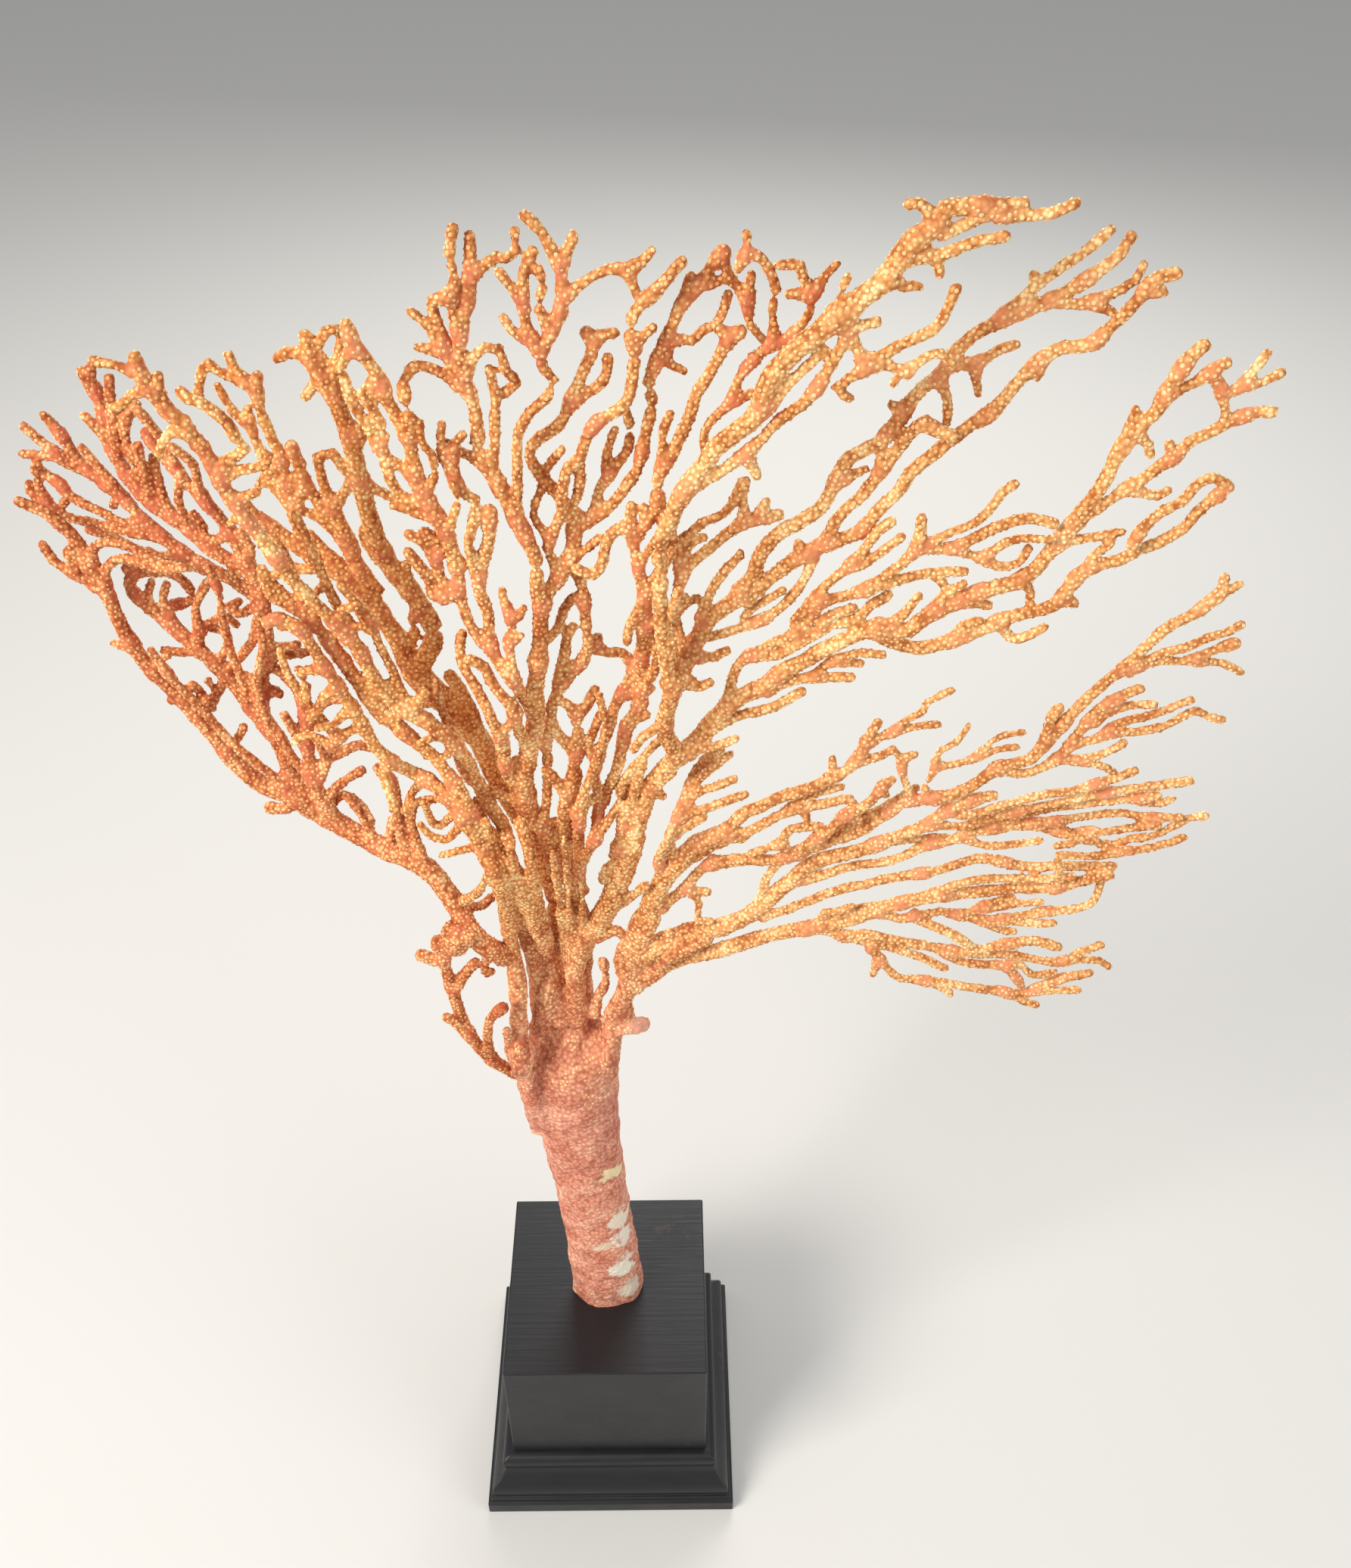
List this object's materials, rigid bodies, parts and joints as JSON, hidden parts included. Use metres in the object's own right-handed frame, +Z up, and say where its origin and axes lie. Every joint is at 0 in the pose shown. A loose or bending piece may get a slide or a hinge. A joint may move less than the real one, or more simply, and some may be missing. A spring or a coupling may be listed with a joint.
{
  "type": "sea fan specimen",
  "caption": "Dried knotted sea fan: a flat spread of forking orange limbs and knobbly twigs, standing on a black square moulded display plinth.",
  "frame": {"origin": "centre of the plinth's underside, on the surface that it stands on", "axes": "+Z up along the trunk, +X to the right across the fan's face, -Y out of its front"},
  "size_m": [0.2706, 0.0798, 0.416],
  "materials": {
    "plinth_paint": "satin black paint on turned and mitred wood",
    "trunk_skin": "matt, smooth and mottled",
    "front_skin": "matt, granular",
    "back_skin": "matt, granular",
    "crown_skin": "matt, granular",
    "right_skin": "matt, granular"
  },
  "bodies": {
    "root": {"plinth_moulding": "plinth_paint", "plinth_block": "plinth_paint", "trunk": "trunk_skin", "left_limb": "trunk_skin", "front_low_limb": "front_skin", "front_middle_limb": "front_skin", "front_upper_limb": "front_skin", "front_far_limb": "front_skin", "plate_limb": "front_skin", "plate_long_limb": "front_skin", "front_fan_limb": "front_skin", "front_right_limb": "front_skin", "tall_left_limb": "front_skin", "tall_fan_limb": "front_skin", "back_left_root": "back_skin", "back_outer_limb": "back_skin", "back_middle_limb": "back_skin", "back_inner_limb": "back_skin", "back_loop_limb": "back_skin", "back_upper_limb": "back_skin", "back_low_limb": "back_skin", "low_left_branch": "back_skin", "crown_left_limb": "crown_skin", "crown_tall_limb": "crown_skin", "crown_middle_limb": "crown_skin", "crown_centre_limb": "crown_skin", "crown_hanging_limb": "crown_skin", "crown_column_limb": "crown_skin", "right_upper_root": "right_skin", "right_upper_limb": "right_skin", "right_top_limb": "right_skin", "right_crown_limb": "right_skin", "right_crown_thick_limb": "right_skin", "right_long_limb": "right_skin", "right_middle_root": "right_skin", "right_outer_limb": "right_skin", "right_middle_limb": "right_skin", "right_low_root": "right_skin", "right_lower_limb": "right_skin", "right_loop_limb": "right_skin", "right_far_limb": "right_skin", "right_wing_limb": "right_skin", "right_bottom_limb": "right_skin"}
  },
  "joints": []
}
